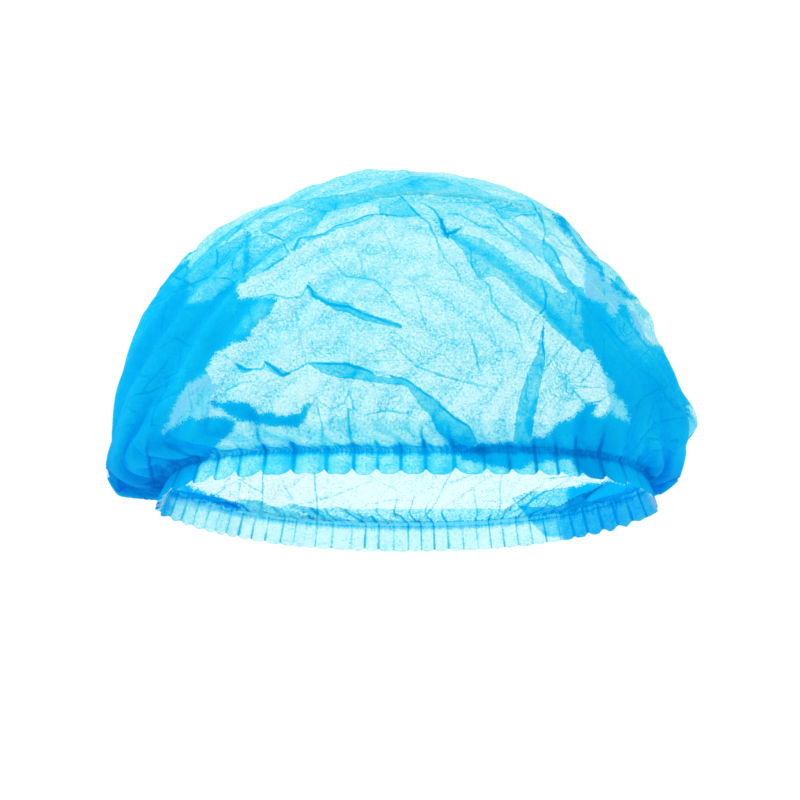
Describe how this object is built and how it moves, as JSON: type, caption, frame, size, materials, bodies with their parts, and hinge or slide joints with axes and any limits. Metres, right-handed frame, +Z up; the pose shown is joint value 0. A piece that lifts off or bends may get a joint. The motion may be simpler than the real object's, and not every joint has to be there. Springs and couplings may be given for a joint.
{
  "type": "disposable hairnet",
  "caption": "Disposable bouffant cap of thin blue spunbond cloth, gathered by an elastic in its turned-in hem, lying puffed up with its opening to the front.",
  "frame": {"origin": "centre of the footprint's box, on the surface that the cap lies on", "axes": "+X across the opening to the right as seen from the opening, +Y from the opening towards the crown's closed end, +Z up from the back panel through the puffed front panel"},
  "size_m": [0.2818, 0.1788, 0.1199],
  "materials": {
    "spunbond_cloth": "thin translucent non-woven, matte with a slight sheen",
    "elastic_ribbon": "matte stretch ribbon"
  },
  "bodies": {
    "root": {"crown": "spunbond_cloth", "elastic_band": "elastic_ribbon"}
  },
  "joints": []
}
